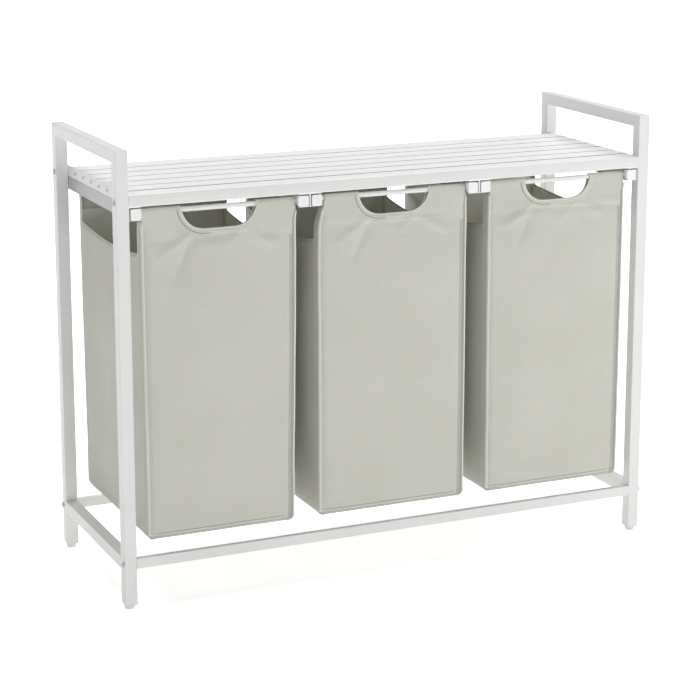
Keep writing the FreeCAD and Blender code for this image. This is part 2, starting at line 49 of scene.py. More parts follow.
def smooth(low, high, value):
    """0 below low, 1 above high, and an even S curve between."""
    t = min(1.0, max(0.0, (value - low) / (high - low)))
    return t * t * (3 - 2 * t)


def mix(a, b, t):
    return a + (b - a) * t


def steps(start, end, count):
    """count + 1 values from start to end."""
    return [mix(start, end, i / count) for i in range(count + 1)]


def ripple(x, z, size, seed):
    """Smooth noise between about -1 and 1. size is in millimetres, one for each way."""
    return noise.noise(Vector((x / size[0], z / size[1], seed * 7.31)))


def make_mesh(name, points, faces, material, smooth_shading=True):
    """A mesh object from points in millimetres."""
    mesh = bpy.data.meshes.new(name)
    mesh.from_pydata([Vector(p) * MM for p in points], [], faces)
    mesh.update()
    if smooth_shading:
        mesh.polygons.foreach_set("use_smooth", [True] * len(mesh.polygons))
    piece = bpy.data.objects.new(name, mesh)
    scene.collection.objects.link(piece)
    mesh.materials.append(material)
    return piece


# ---------------------------------------------------------------- materials


class Nodes:
    """A short way to write one material's nodes."""

    def __init__(self, name):
        self.material = bpy.data.materials.new(name)
        self.material.use_nodes = True
        self.tree = self.material.node_tree
        self.shader = self.tree.nodes["Principled BSDF"]
        self.place = self.add("ShaderNodeTexCoord").outputs["Object"]

    def add(self, kind, inputs=None, **settings):
        node = self.tree.nodes.new(kind)
        for key, value in settings.items():
            setattr(node, key, value)
        for key, value in (inputs or {}).items():
            self.feed(node.inputs[key], value)
        return node

    def feed(self, socket, value):
        if isinstance(value, bpy.types.NodeSocket):
            self.tree.links.new(value, socket)
        else:
            socket.default_value = value

    def stretched(self, scale):
        return self.add("ShaderNodeMapping", {"Vector": self.place, "Scale": scale}).outputs[0]

    def noise(self, scale, detail=2.0, vector=None):
        inputs = {"Vector": vector or self.place, "Scale": scale, "Detail": detail}
        return self.add("ShaderNodeTexNoise", inputs).outputs["Fac"]

    def bands(self, axis, pitch):
        """A wave of this pitch, in metres, along one axis."""
        wave = self.add("ShaderNodeTexWave", {"Vector": self.place, "Scale": 0.314159 / pitch})
        wave.bands_direction = axis
        return wave.outputs["Fac"]

    def blend(self, fac, a, b, low=0.3, high=0.7):
        """Colour a where fac is low and b where it is high."""
        ramp = self.add("ShaderNodeMapRange", {"Value": fac, "From Min": low, "From Max": high})
        mixer = self.add("ShaderNodeMix", data_type="RGBA")
        self.feed(mixer.inputs[0], ramp.outputs[0])
        self.feed(mixer.inputs[6], a)
        self.feed(mixer.inputs[7], b)
        return mixer.outputs[2]

    def spread(self, fac, low, high):
        inputs = {"Value": fac, "From Min": 0.25, "From Max": 0.75, "To Min": low, "To Max": high}
        return self.add("ShaderNodeMapRange", inputs).outputs[0]

    def bump(self, height, distance, strength=1.0, normal=None):
        inputs = {"Height": height, "Distance": distance, "Strength": strength}
        if normal is not None:
            inputs["Normal"] = normal
        return self.add("ShaderNodeBump", inputs).outputs[0]

    def math(self, operation, a, b):
        node = self.add("ShaderNodeMath", operation=operation)
        self.feed(node.inputs[0], a)
        self.feed(node.inputs[1], b)
        return node.outputs[0]

    def by_facing(self, other, front, back):
        """Colours for faces towards the front, faces towards the back, and all other faces."""
        normal = self.add("ShaderNodeNewGeometry").outputs["Normal"]
        along = self.add("ShaderNodeSeparateXYZ", {"Vector": normal}).outputs["Y"]
        rest = self.blend(along, other, back, 0.6, 0.9)
        return self.blend(self.math("MULTIPLY", along, -1.0), rest, front, 0.6, 0.9)

    def set(self, **inputs):
        names = {"color": "Base Color", "roughness": "Roughness", "metallic": "Metallic",
                 "normal": "Normal", "sheen": "Sheen Weight", "sheen_roughness": "Sheen Roughness",
                 "coat": "Coat Weight", "coat_roughness": "Coat Roughness",
                 "specular": "Specular IOR Level"}
        for key, value in inputs.items():
            self.feed(self.shader.inputs[names[key]], value)
        return self.material


def grey(level, warmth):
    """A near-neutral colour; warmth lowers the blue."""
    return (level, level, level * (1 - warmth), 1.0)


def powder_coat(name, level, roughness, painted_shade_level=None):
    """Sprayed white paint with fine orange peel and faint clouding.

    With the last argument given, faces that look neither forwards nor backwards get a darker tone:
    painted shade in the rails' channels.
    """
    m = Nodes(name)
    tone = m.blend(m.noise(9.0, 3.0), grey(level * 0.965, 0.01), grey(level, 0.004))
    if painted_shade_level is not None:
        # Painted shade: a darker tone for every face that looks neither forwards nor backwards.
        inner = m.blend(m.noise(25.0, 3.0), grey(painted_shade_level * 0.9, 0.01), grey(painted_shade_level, 0.01))
        tone = m.by_facing(inner, tone, tone)
    peel = m.bump(m.noise(1400.0, 2.0), 0.00006, 0.5)
    gloss = m.spread(m.noise(60.0), roughness - 0.05, roughness + 0.06)
    return m.set(color=tone, roughness=gloss, normal=peel)


def lacquered_board(name, front_shade_level):
    """White lacquer over wood with faint grain along the board. Faces towards the front get a
    darker tone: painted shade.
    """
    m = Nodes(name)
    along = m.stretched((3.0, 130.0, 130.0))
    grain = m.noise(1.0, 6.0, along)
    pores = m.noise(1.0, 3.0, m.stretched((30.0, 900.0, 900.0)))
    face = m.blend(grain, grey(0.84, 0.012), grey(0.89, 0.004))
    # Painted shade: the darker tone for faces towards the front, which makes the gaps between the
    # slats read dark.
    edge = m.blend(grain, grey(front_shade_level - 0.04, 0.02), grey(front_shade_level, 0.015))
    tone = m.by_facing(face, edge, face)
    ridges = m.bump(grain, 0.00025, 0.35)
    normal = m.bump(pores, 0.00008, 0.3, ridges)
    gloss = m.spread(grain, 0.34, 0.46)
    return m.set(color=tone, roughness=gloss, normal=normal, coat=0.15, coat_roughness=0.25)


def woven(name, light, dark, pitch, sheen, roughness):
    """Plain-weave cloth: threads over and under each other, with slubs and soft clouding."""
    m = Nodes(name)
    across = m.math("MULTIPLY", m.bands("X", pitch), m.bands("Z", pitch))
    deep = m.math("MULTIPLY", m.bands("Y", pitch), m.bands("Z", pitch))
    weave = m.math("ADD", across, deep)
    slub = m.noise(1.0, 3.0, m.stretched((900.0, 900.0, 60.0)))
    slub_across = m.noise(1.0, 3.0, m.stretched((60.0, 60.0, 900.0)))
    threads = m.math("ADD", slub, slub_across)
    cloud = m.noise(7.0, 4.0)
    tone = m.blend(cloud, dark, light, 0.35, 0.65)
    speck = m.blend(threads, (0.80, 0.80, 0.79, 1.0), (1.0, 1.0, 1.0, 1.0), 0.75, 1.25)
    mixer = m.add("ShaderNodeMix", data_type="RGBA", blend_type="MULTIPLY")
    m.feed(mixer.inputs[0], 0.22)
    m.feed(mixer.inputs[6], tone)
    m.feed(mixer.inputs[7], speck)
    normal = m.bump(weave, pitch * 0.18, 0.35)
    normal = m.bump(threads, 0.00018, 0.4, normal)
    return m.set(
        color=mixer.outputs[2],
        roughness=m.spread(threads, roughness - 0.05, roughness),
        normal=normal,
        sheen=sheen,
        sheen_roughness=0.5,
        specular=0.25,
    )


def tape():
    """Binding tape: fine cross ribs in a lighter thread."""
    m = Nodes("binding_tape")
    ribs = m.math("ADD", m.bands("X", 0.0011), m.bands("Z", 0.0011))
    tone = m.blend(m.noise(300.0, 3.0), (0.69, 0.69, 0.635, 1), (0.75, 0.75, 0.69, 1))
    relief = m.bump(ribs, 0.00025, 0.5)
    return m.set(
        color=tone, roughness=0.82, normal=relief, sheen=0.15, sheen_roughness=0.5, specular=0.25
    )


def thread():
    """Twisted polyester thread."""
    m = Nodes("sewing_thread")
    tone = m.blend(m.noise(1500.0, 2.0), (0.72, 0.72, 0.66, 1), (0.84, 0.84, 0.78, 1))
    gloss = m.spread(m.noise(900.0), 0.45, 0.65)
    return m.set(color=tone, roughness=gloss, sheen=0.2, sheen_roughness=0.4)


def moulded(name, level, roughness):
    """Moulded plastic: fine spark-eroded grain and a trace of flow marks."""
    m = Nodes(name)
    tone = m.blend(m.noise(40.0, 3.0), grey(level * 0.95, 0.015), grey(level, 0.008))
    normal = m.bump(m.noise(2600.0, 2.0), 0.00004, 0.5)
    gloss = m.spread(m.noise(220.0), roughness - 0.06, roughness + 0.06)
    return m.set(color=tone, roughness=gloss, normal=normal)


def zinc_steel():
    """Plated screws and bolts: a finely uneven surface, and patches of duller plating."""
    m = Nodes("zinc_plated_steel")
    patches = m.noise(700.0, 4.0)
    tone = m.blend(patches, (0.36, 0.36, 0.36, 1), (0.62, 0.62, 0.61, 1))
    relief = m.bump(m.noise(2200.0, 2.0), 0.00005, 0.6)
    return m.set(color=tone, metallic=0.9, roughness=m.spread(patches, 0.28, 0.5), normal=relief)


GLOW_NEAR, GLOW_FAR = 0.50, 0.7
GLOW_START, GLOW_END = 1.0, 6.0


def pale_floor():
    """The studio floor: near-white, matt, slightly uneven, and glowing more in the distance."""
    m = Nodes("studio_floor")
    tone = m.blend(m.noise(1.5, 3.0), grey(0.93, 0.004), grey(0.95, 0.002))
    m.feed(m.shader.inputs["Emission Color"], (1.0, 1.0, 1.0, 1.0))
    distance = m.add("ShaderNodeVectorMath", {"Vector": m.place}, operation="LENGTH")
    glow = {
        "Value": distance.outputs["Value"],
        "From Min": GLOW_START,
        "From Max": GLOW_END,
        "To Min": GLOW_NEAR,
        "To Max": GLOW_FAR,
    }
    m.feed(m.shader.inputs["Emission Strength"], m.add("ShaderNodeMapRange", glow).outputs[0])
    return m.set(color=tone, roughness=m.spread(m.noise(12.0), 0.85, 0.95), specular=0.1)


CLOTH_PITCH = 0.0009
LINING_PITCH = 0.0012

FRAME_PAINT = powder_coat("white_powder_coat", 0.76, 0.42)
# The rails carry painted shade: only their front and back faces keep the white paint.
RAIL_PAINT = powder_coat("white_rail_paint", 0.84, 0.36, 0.42)
# Painted shade on front faces: much darker on the slats, a little darker on the front beam.
BOARD = lacquered_board("white_lacquered_board", 0.40)
FRONT_BOARD = lacquered_board("white_lacquered_front", 0.76)
CLOTH = woven(
    "greige_bag_cloth", (0.595, 0.595, 0.54, 1), (0.565, 0.565, 0.51, 1), CLOTH_PITCH, 0.08, 0.85
)
# A darker copy of the bag cloth: painted shade beside the right-hand seams and round the bottom.
SEAM_SHADE_CLOTH = woven(
    "greige_cloth_painted_shade", (0.46, 0.46, 0.42, 1), (0.43, 0.43, 0.39, 1), CLOTH_PITCH, 0.08, 0.88
)
# A dark copy of the bag cloth: painted shadow for the strips beside the hand holes' folds and along
# the bottom seams.
FOLD_SHADOW_CLOTH = woven(
    "greige_fold_painted_shadow", (0.30, 0.30, 0.265, 1), (0.27, 0.27, 0.24, 1), CLOTH_PITCH, 0.05, 0.9
)
# The lining is real, but its tone is made lighter than the bag cloth as painted light, so the
# shaded insides read brighter.
LINING_PAINTED_LIGHT = woven(
    "greige_bag_lining_painted_light", (0.90, 0.89, 0.78, 1), (0.87, 0.86, 0.75, 1), LINING_PITCH, 0.05, 0.7
)
TAPE = tape()
THREAD = thread()
CAP_PLASTIC = moulded("white_cap_plastic", 0.88, 0.35)
FOOT_PLASTIC = moulded("pale_foot_plastic", 0.70, 0.45)
ZINC = zinc_steel()

PAINTS = {
    "frame_steel": FRAME_PAINT,
    "rail_steel": RAIL_PAINT,
    "shelf_board": BOARD,
    "bag_fabric": CLOTH,
    "cap_plastic": CAP_PLASTIC,
    "foot_plastic": FOOT_PLASTIC,
    "fastener_steel": ZINC,
}

slot_of = {entry["node"]: entry["material_slot"] for entry in frame["record"]["subparts"]}
for name, node in nodes.items():
    paint = FRONT_BOARD if name == "front_beam" else PAINTS[slot_of[name]]
    if not node.material_slots:
        node.data.materials.append(paint)
    for material_slot in node.material_slots:
        material_slot.material = paint

# ---------------------------------------------------------------- bags

# Sizes in millimetres, from a bag's middle and from the floor.
ROD_Y = 150.0
ROD_Z = 622.2
CLOTH_THICKNESS = 1.6
CLOTH_HALF = CLOTH_THICKNESS / 2
SLEEVE_RADIUS = 5.2
PANEL_Y = ROD_Y + SLEEVE_RADIUS
LINING_GAP = 1.9
BOTTOM_Z = 104.0
BOTTOM_RADIUS = 9.0
WALL_START_Z = BOTTOM_Z + BOTTOM_RADIUS
BOTTOM_DIP = 2.2
SIDE_HEM_Z = 558.0
SLEEVE_SEAM_Z = 577.0
STRIP_TOP_Z = 610.0
SLEEVE_ROWS = 9

# The hand hole: a flat middle between two quarter rounds.
FLAT_HALF = 24.0
CUT_HALF = 62.0
CUT_RADIUS = CUT_HALF - FLAT_HALF
CUT_Z = 590.0

# The corners, and the side windows between their front and rear strips.
EDGE_NORMAL = 126.0
CORNER_RADIUS = 4.0
FACE_LIMIT = EDGE_NORMAL - CORNER_RADIUS
SIDE_LIMIT = PANEL_Y - CORNER_RADIUS
PIPING_TURN = 35
FRONT_STRIP = 17.0
REAR_STRIP = 10.0
WINDOW_FRONT = -(PANEL_Y - FRONT_STRIP)
WINDOW_REAR = PANEL_Y - REAR_STRIP
# Width of the band of painted shade beside the right-hand seams; the columns are closer in it.
SEAM_SHADE_BAND = 7.5

# How the cloth hangs.
FACE_BELLY = 3.2
SIDE_BELLY = 7.0
HEM_GROOVE = 0.7
SEAM_DIP = 2.2
CORNER_PUCKER = 2.4
OUTER_HEM_SAG = 9.0
INNER_HEM_SAG = 15.0

# Creases that fan out from each end of a hand hole: (end x, end z, height, width).
FAN_CREASES = ((108, 546, 2.6, 5.0), (84, 500, -2.0, 6.0), (4, 554, 1.8, 4.5))

BAY_X = {1: -295.0, 2: 0.0, 3: 295.0}

# The left and right edge of each bag: (x, shift towards the bottom, shift at the top).
EDGE_SHAPES = {
    1: ((-125.8, 2.2, 0.0), (125.6, -5.0, 0.0)),
    2: ((-130.4, 0.6, 10.0), (128.0, -0.4, -2.5)),
    3: ((-126.2, 1.4, 1.2), (126.0, -1.0, -0.8)),
}


def edges(bag, z):
    """The x of a bag's left and right edges at height z."""
    low = 1 - smooth(BOTTOM_Z, 560, z)
    top = smooth(572, 626, z)
    left, right = (x + at_bottom * low + at_top * top for x, at_bottom, at_top in EDGE_SHAPES[bag])
    return left + 0.5 * ripple(z, 0, (70, 1), bag), right + 0.5 * ripple(z, 9, (80, 1), bag + 3)


def corner_radius(z):
    return mix(CORNER_RADIUS, 0.5, smooth(592, STRIP_TOP_Z, z))


def crease(x, z, start, end, width):
    """How strongly a straight crease from start to end shows at (x, z), from 0 to 1."""
    dx, dz = end[0] - start[0], end[1] - start[1]
    length = math.hypot(dx, dz)
    along = ((x - start[0]) * dx + (z - start[1]) * dz) / length
    aside = ((x - start[0]) * dz - (z - start[1]) * dx) / length
    if along < 0 or along > length:
        return 0.0
    return math.exp(-((aside / width) ** 2)) * math.sin(math.pi * along / length)


def face_relief(bag, x, z, rear):
    """How far a front or rear panel stands out at (x, z)."""
    seed = bag + (10 if rear else 0)
    loose = 1 - smooth(585, 612, z)
    across = max(0.0, 1 - (x / EDGE_NORMAL) ** 2)
    belly = FACE_BELLY * across * math.sin(math.pi * min(1.0, (z - BOTTOM_Z) / 470.0)) ** 0.8
    groove = -HEM_GROOVE * math.exp(-(((z - SLEEVE_SEAM_Z) / 2.2) ** 2))
    wide = 1.3 * ripple(x, z, (95, 150), seed) * across
    band = math.exp(-(((z - 570) / 24) ** 2))
    fine = 1.8 * band * ripple(x, z, (52, 8), seed + 2)
    fans = 0.0
    for side in (-1, 1):
        corner = (side * (FLAT_HALF + 14), CUT_Z - 2)
        for end_x, end_z, height, width in FAN_CREASES:
            fans += height * crease(x, z, corner, (side * end_x, end_z), width)
    bottom = 0.7 * ripple(x, z, (30, 16), seed + 5) * (1 - smooth(112, 150, z))
    return loose * (belly + wide + fans + fine + bottom) + groove


def side_relief(bag, y, z, side):
    """How far a side panel stands out at (y, z). It is slack below its hem."""
    seed = bag + (20 if side > 0 else 30)
    across = max(0.0, 1 - (y / PANEL_Y) ** 2)
    height = smooth(BOTTOM_Z, 230, z) * mix(1.0, 0.15, smooth(430, SIDE_HEM_Z, z))
    belly = SIDE_BELLY * across**0.8 * height
    wide = 1.6 * ripple(y, z, (70, 130), seed) * across
    folds = 0.8 * ripple(y, z, (26, 120), seed + 1) * across
    slack = mix(0.3, 1.0, 1 - smooth(500, SIDE_HEM_Z, z)) * (1 - smooth(SIDE_HEM_Z, 590, z))
    return belly + (wide + folds) * slack - 0.3 * across


def hem_sag(bag, y, z, side):
    """The side hem hangs lower between the corners."""
    across = max(0.0, 1 - (y / PANEL_Y) ** 2)
    outside = (bag == 1 and side < 0) or (bag == 3 and side > 0)
    sag = OUTER_HEM_SAG if outside else INNER_HEM_SAG
    return sag * across * smooth(300, SIDE_HEM_Z, z)


def place(bag, station, z, inset=0.0):
    """(point, outward normal) on the bag's middle surface.

    station is (panel, distance along it), or ((x sign, y sign), degrees) on a corner.
    """
    panel, along = station
    left, right = edges(bag, z)
    radius = corner_radius(z)
    if panel in ("front", "rear"):
        out = (0.0, -1.0) if panel == "front" else (0.0, 1.0)
        edge = right - radius if along > 0 else -(left + radius)
        beyond = max(0.0, abs(along) - CUT_HALF)
        stretch = (edge - CUT_HALF) / (FACE_LIMIT - CUT_HALF)
        x = math.copysign(abs(along) - beyond + beyond * stretch, along)
        y = PANEL_Y * out[1]
        from_edge = edge + radius - abs(x)
        stand = face_relief(bag, x, z, panel == "rear") * smooth(0, 20, from_edge)
        valley = math.exp(-(((from_edge - radius) / 3.2) ** 2)) * (1 - smooth(590, 612, z))
        stand -= SEAM_DIP * valley
        pucker = math.exp(-(((from_edge - 11) / 5) ** 2) - ((z - BOTTOM_Z - 9) / 5) ** 2)
        stand -= CORNER_PUCKER * pucker
    elif panel in ("left", "right"):
        side = 1 if panel == "right" else -1
        out = (float(side), 0.0)
        x = right if side > 0 else left
        y = along * (PANEL_Y - radius) / SIDE_LIMIT
        stand = side_relief(bag, y, z, side) * smooth(0, 45, PANEL_Y - abs(y))
        z = z - hem_sag(bag, y, z, side)
    else:
        corner_x, corner_y = panel
        turn = math.radians(along)
        out = (corner_x * math.sin(turn), corner_y * math.cos(turn))
        x = (right - radius if corner_x > 0 else left + radius) + out[0] * radius
        y = corner_y * (PANEL_Y - radius) + out[1] * radius
        stand = 0.0
    stand -= inset
    return Vector((x + out[0] * stand, y + out[1] * stand, z)), Vector((out[0], out[1], 0.0))


def cut_z(along):
    """Height of the hand hole's lower edge at this distance from the middle."""
    beyond = max(0.0, min(CUT_RADIUS, abs(along) - FLAT_HALF))
    return CUT_Z + CUT_RADIUS - math.sqrt(max(0.0, CUT_RADIUS**2 - beyond**2))


def face_columns():
    """Distances along a front or rear panel, closer together round the hand hole's ends."""
    band = FACE_LIMIT - SEAM_SHADE_BAND
    half = steps(0, FLAT_HALF, 4)[:-1]
    half += [FLAT_HALF + CUT_RADIUS * math.sin(math.radians(a)) for a in steps(0, 90, 12)][:-1]
    half += steps(CUT_HALF, band, 11)[:-1] + steps(band, FACE_LIMIT, 3)
    return [-v for v in reversed(half[1:])] + half


def ring_stations():
    """All the way round, anticlockwise from above, starting at the front left."""
    side = steps(-SIDE_LIMIT, WINDOW_FRONT, 2)[:-1]
    side += steps(WINDOW_FRONT, WINDOW_REAR, 34) + [SIDE_LIMIT]
    face = face_columns()
    arc = steps(0, 90, 4)[1:-1]
    stations = [("front", v) for v in face]
    stations += [((1, -1), v) for v in arc]
    stations += [("right", v) for v in side]
    stations += [((1, 1), v) for v in reversed(arc)]
    stations += [("rear", v) for v in reversed(face)]
    stations += [((-1, 1), v) for v in arc]
    stations += [("left", v) for v in reversed(side)]
    stations += [((-1, -1), v) for v in reversed(arc)]
    return stations


def in_window(station):
    """True on the side panels between their seams, where the side is open above its hem."""
    panel, along = station
    return panel in ("left", "right") and WINDOW_FRONT < along < WINDOW_REAR


def lining_y(z):
    """Distance of the sleeve's inner layer from the bag's middle."""
    return mix(PANEL_Y - LINING_GAP, ROD_Y - SLEEVE_RADIUS, smooth(592, ROD_Z, z))


def in_seam_shade_band(station, z):
    """True where faces get the darker seam cloth, which is painted shade: beside the right-hand
    seam, and round the bottom where the cloth turns under.
    """
    panel, along = station
    if z < BOTTOM_Z + BOTTOM_RADIUS * 0.8:
        return True
    turned = panel in ("front", "rear") and along > FACE_LIMIT - SEAM_SHADE_BAND - 0.1
    return turned and z < SLEEVE_SEAM_Z


def layer_top(station):
    """Where the cloth's outer layer ends: at the hand hole, the rod, or a side strip's top."""
    panel, along = station
    if panel not in ("front", "rear"):
        return STRIP_TOP_Z
    return cut_z(along) if abs(along) < CUT_HALF else ROD_Z


class Surface:
    """The points, in millimetres, and the faces of one mesh."""

    def __init__(self):
        self.points, self.faces = [], []

    def add(self, point):
        self.points.append(point)
        return len(self.points) - 1


def bottom_rings(cloth, bag, stations):
    """Rings from the middle of the bottom to the start of the walls."""
    count = len(stations)
    rings = []
    for share in steps(0.08, 1.0, 9)[:-1]:
        ring = []
        for station in stations:
            p, _ = place(bag, station, BOTTOM_Z, BOTTOM_RADIUS)
            uneven = 0.5 * ripple(p.x * share, p.y * share, (60, 60), bag + 40)
            dip = BOTTOM_DIP * (1 - share**2) + uneven
            ring.append(cloth.add(Vector((p.x * share, p.y * share, BOTTOM_Z - dip))))
        rings.append(ring)
    centre = cloth.add(Vector((0, 0, BOTTOM_Z - BOTTOM_DIP)))
    for i in range(count):
        cloth.faces.append((centre, rings[0][(i + 1) % count], rings[0][i]))
    for turn in steps(90, 0, 5):
        a = math.radians(turn)
        z = BOTTOM_Z + BOTTOM_RADIUS * (1 - math.sin(a))
        inset = BOTTOM_RADIUS * (1 - math.cos(a))
        rings.append([cloth.add(place(bag, s, z, inset)[0]) for s in stations])
    return rings


def wall_rings(cloth, bag, stations):
    """Rings up the four walls. Above the side hems they hold None across the windows."""
    rings = []
    for z in steps(WALL_START_Z, SIDE_HEM_Z, 62)[1:]:
        rings.append([cloth.add(place(bag, s, z)[0]) for s in stations])
    for z in steps(SIDE_HEM_Z, SLEEVE_SEAM_Z, 3)[1:]:
        rings.append([None if in_window(s) else cloth.add(place(bag, s, z)[0]) for s in stations])
    for share in steps(0, 1, SLEEVE_ROWS)[1:]:
        ring = []
        for station in stations:
            if in_window(station):
                ring.append(None)
                continue
            z = mix(SLEEVE_SEAM_Z, layer_top(station), share)
            ring.append(cloth.add(place(bag, station, z)[0]))
        rings.append(ring)
    return rings


def join_rings(cloth, rings, stations):
    """Faces between neighbouring rings. Returns the indices of those in the band of painted seam
    shade.
    """
    count = len(stations)
    painted_shade_faces = []
    for low, high in zip(rings, rings[1:]):
        for i in range(count):
            after = (i + 1) % count
            corners = (low[i], low[after], high[after], high[i])
            if None in corners:
                continue
            z = cloth.points[high[i]].z
            both = in_seam_shade_band(stations[i], z) and in_seam_shade_band(stations[after], z)
            if both and z > BOTTOM_Z + 0.5:
                painted_shade_faces.append(len(cloth.faces))
            cloth.faces.append(corners)
    return painted_shade_faces


def sleeve(cloth, bag, panel, stations, top_ring):
    """A panel's upper hem: over its rod, then down inside as far as the sleeve's seam.

    The first row inside repeats the last one over the rod, so no faces join those two.
    """
    sign = -1 if panel == "front" else 1
    columns = [i for i, s in enumerate(stations) if s[0] == panel]
    layers = [[top_ring[i] if abs(stations[i][1]) >= CUT_HALF else None for i in columns]]
    for turn in steps(0, 180, 12)[1:]:
        a = math.radians(turn)
        layer = []
        for i in columns:
            if abs(stations[i][1]) < CUT_HALF:
                layer.append(None)
                continue
            p, _ = place(bag, stations[i], ROD_Z)
            y = sign * (ROD_Y + SLEEVE_RADIUS * math.cos(a))
            layer.append(cloth.add(Vector((p.x, y, ROD_Z + SLEEVE_RADIUS * math.sin(a)))))
        layers.append(layer)
    past_rod = layers[-1]
    for share in steps(0, 1, SLEEVE_ROWS):
        layer = []
        for column, i in enumerate(columns):
            if share == 0 and past_rod[column] is not None:
                layer.append(past_rod[column])
                continue
            z = mix(layer_top(stations[i]), SLEEVE_SEAM_Z - 1.5, share)
            p, _ = place(bag, stations[i], z)
            lie = sign * p.y - PANEL_Y
            layer.append(cloth.add(Vector((p.x, sign * (lining_y(z) + lie), z))))
        layers.append(layer)
    for low, high in zip(layers, layers[1:]):
        for j in range(len(columns) - 1):
            corners = (low[j], low[j + 1], high[j + 1], high[j])
            if None not in corners and len(set(corners)) == 4:
                cloth.faces.append(corners)


def bag_shell(bag):
    """The sewn shell: bottom, four walls, side windows, and a sleeve round each rod."""
    stations = ring_stations()
    cloth = Surface()
    rings = bottom_rings(cloth, bag, stations) + wall_rings(cloth, bag, stations)
    painted_shade_faces = join_rings(cloth, rings, stations)
    for panel in ("front", "rear"):
        sleeve(cloth, bag, panel, stations, rings[-1])

    shell = make_mesh(f"bag_{bag}_shell", cloth.points, cloth.faces, CLOTH)
    # Inner faces get the lining, whose lighter tone is painted light.
    for material in (LINING_PAINTED_LIGHT, SEAM_SHADE_CLOTH, LINING_PAINTED_LIGHT):
        shell.data.materials.append(material)
    # Faces in the seam band get the darker cloth: painted shade.
    for index in painted_shade_faces:
        shell.data.polygons[index].material_index = 2
    thick = shell.modifiers.new("cloth thickness", "SOLIDIFY")
    thick.thickness = CLOTH_THICKNESS * MM
    thick.offset = 0.0
    thick.material_offset = 1
    return shell


# Trimmings: binding tape, facings, piping, dark strips painted as the shadows of folds, and
# stitches. A path is a list of (point, outward, into the cloth), and a run is a list of (point,
# outward).


def join_rows(strip, base, rows, size, closed=False):
    """Faces round equal rows of points, with an end cap on each end unless it is closed."""
    for i in range(rows if closed else rows - 1):
        a, b = base + i * size, base + ((i + 1) % rows) * size
        for j in range(size):
            k = (j + 1) % size
            strip.faces.append((a + j, a + k, b + k, b + j))
    if not closed:
        strip.faces.append(tuple(base + j for j in range(size))[::-1])
        strip.faces.append(tuple(base + (rows - 1) * size + j for j in range(size)))


def sweep(strip, path, section, closed=False):
    """Adds a strip along path. section lists (into the cloth, out of the cloth) offsets."""
    base = len(strip.points)
    for point, out, into in path:
        for d, n in section:
            strip.points.append(point + into * d + out * n)
    join_rows(strip, base, len(path), len(section), closed)


def lay_strip(strip, runs):
    """Joins runs of equal length into one strip that lies on the cloth."""
    base = len(strip.points)
    for row in zip(*runs):
        strip.points.extend(point for point, _ in row)
    join_rows(strip, base, len(runs[0]), len(runs))


def flat_section(start, end, half):
    """A flat band with round edges: from start to end into the cloth, half its thickness."""
    soft = half * 0.6
    return [
        (start, -half * 0.4), (start + soft, -half), (end - soft, -half), (end, -half * 0.4),
        (end, half * 0.4), (end - soft, half), (start + soft, half), (start, half * 0.4),
    ]


def oval_section(half_width, half_height, sides=10):
    turns = [2 * math.pi * i / sides for i in range(sides)]
    return [(half_width * math.cos(t), half_height * math.sin(t)) for t in turns]


# Sections of the strips: (distance, height above the cloth).
BINDING = flat_section(-0.8, 2.3, CLOTH_HALF + 0.4)
PIPING = oval_section(2.2, 0.8)
FACING = ((1.6, -0.3), (1.8, 0.35), (2.2, 0.5), (5.5, 0.5), (5.9, 0.3), (6.0, -0.3))
# The next two strips are painted shadow: a dark line beside a hand hole's fold and one along the
# bottom seam.
FOLD_SHADOW = ((5.9, -0.3), (6.1, 0.22), (7.1, 0.22), (7.5, -0.3))
BOTTOM_SEAM_SHADOW = ((0.2, -0.3), (0.5, 0.15), (1.3, 0.15), (1.6, -0.3))

# The painted fold shadow runs beside this many points of a hand hole's edge, from its left end.
FOLD_SHADOW_POINTS = 17


def hole_edge():
    """(distance along the panel, height, direction into the cloth) round a hand hole's edge."""
    lower = [FLAT_HALF + CUT_RADIUS * math.sin(math.radians(a)) for a in steps(0, 90, 14)]
    edge = []
    for along in [-v for v in reversed(lower)] + steps(-FLAT_HALF, FLAT_HALF, 10)[1:-1] + lower:
        beyond = max(0.0, abs(along) - FLAT_HALF) / CUT_RADIUS
        into = Vector((math.copysign(beyond, along), 0, -math.sqrt(max(0.0, 1 - beyond**2))))
        edge.append((along, min(cut_z(along), ROD_Z), into))
    return edge


def on_cloth(bag, stations_and_heights, lift):
    """A run over the cloth's outer face, at this height above it."""
    run = []
    for station, z in stations_and_heights:
        point, out = place(bag, station, z)
        run.append((point + out * (CLOTH_HALF + lift), out))
    return run


def beside_hole(bag, panel, distance, lift):
    """A run on the cloth at one distance from a hand hole's edge."""
    beside = []
    for along, z, into in hole_edge():
        beside.append(((panel, along + into.x * distance), z + into.z * distance))
    return on_cloth(bag, beside, lift)


def hole_path(bag, panel):
    """A hand hole's cut edge: over the front layer, round the rod, back over the inner layer."""
    sign = -1 if panel == "front" else 1
    outer, inner = [], []
    for along, z, into in hole_edge():
        point, out = place(bag, (panel, along), z)
        outer.append((point, out, into))
        lie = sign * point.y - PANEL_Y
        inner.append((Vector((point.x, sign * (lining_y(z) + lie), z)), -out, into))
    round_rod = {}
    for side in (1, -1):
        round_rod[side] = []
        for turn in steps(0, 180, 10)[1:-1]:
            a = math.radians(turn)
            out = Vector((0, sign * math.cos(a), math.sin(a)))
            centre = Vector((side * CUT_HALF, sign * ROD_Y, ROD_Z))
            round_rod[side].append((centre + out * SLEEVE_RADIUS, out, Vector((side, 0, 0))))
    return outer + round_rod[1] + inner[::-1] + round_rod[-1][::-1]


